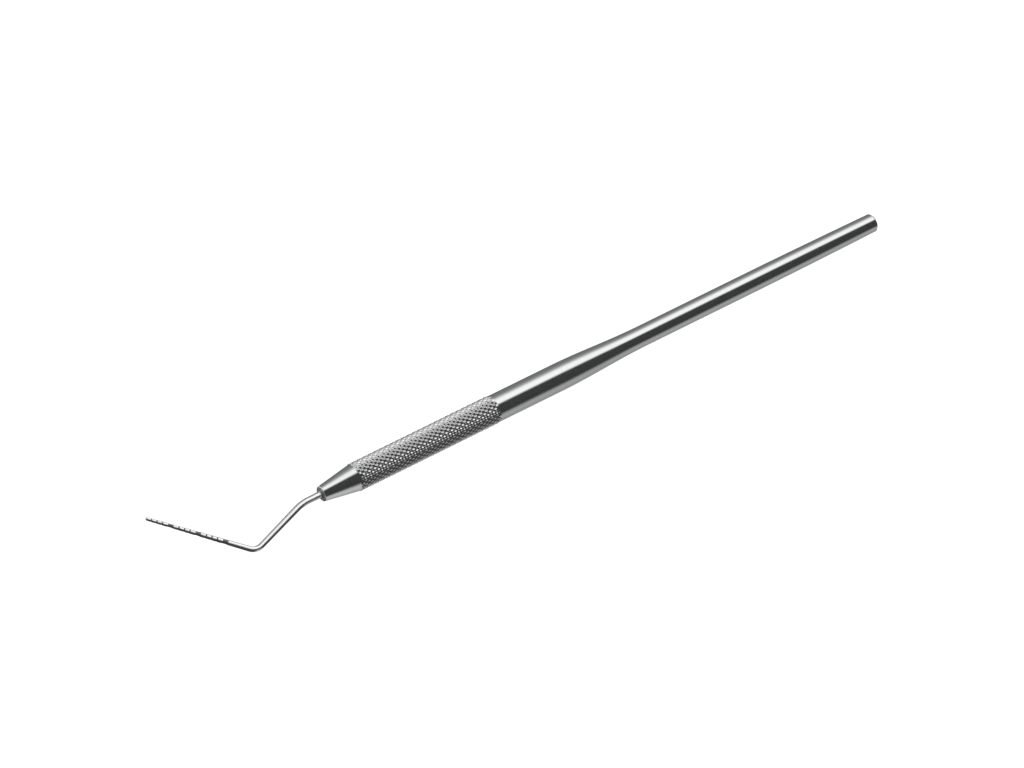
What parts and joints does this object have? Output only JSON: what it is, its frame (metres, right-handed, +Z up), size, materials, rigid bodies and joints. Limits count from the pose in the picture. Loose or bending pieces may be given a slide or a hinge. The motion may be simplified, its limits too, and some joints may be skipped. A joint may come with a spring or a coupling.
{
  "type": "periodontal probe",
  "caption": "Single-ended graduated periodontal probe: a turned steel handle with a diamond-knurled grip, and a bent, tapering probe wire with ground millimetre marks.",
  "frame": {"origin": "bottom centre of the box around the instrument as it lies at rest on a table", "axes": "+X along the handle's axis from the probe's end to the plain end, +Z up from the table; the probe wire's plane holds the handle's axis and is rolled 36.3 degrees up from the table on the +Y side"},
  "size_m": [0.151, 0.0112, 0.0084],
  "materials": {
    "handle_steel": "fine-turned and polished stainless steel, with a diamond knurl on the grip",
    "wire_steel": "satin ground stainless steel, with matte ground graduations",
    "braze": "pale silver braze, dressed flush"
  },
  "bodies": {
    "root": {"handle": "handle_steel", "probe_wire": "wire_steel", "braze_joint": "braze"}
  },
  "joints": []
}
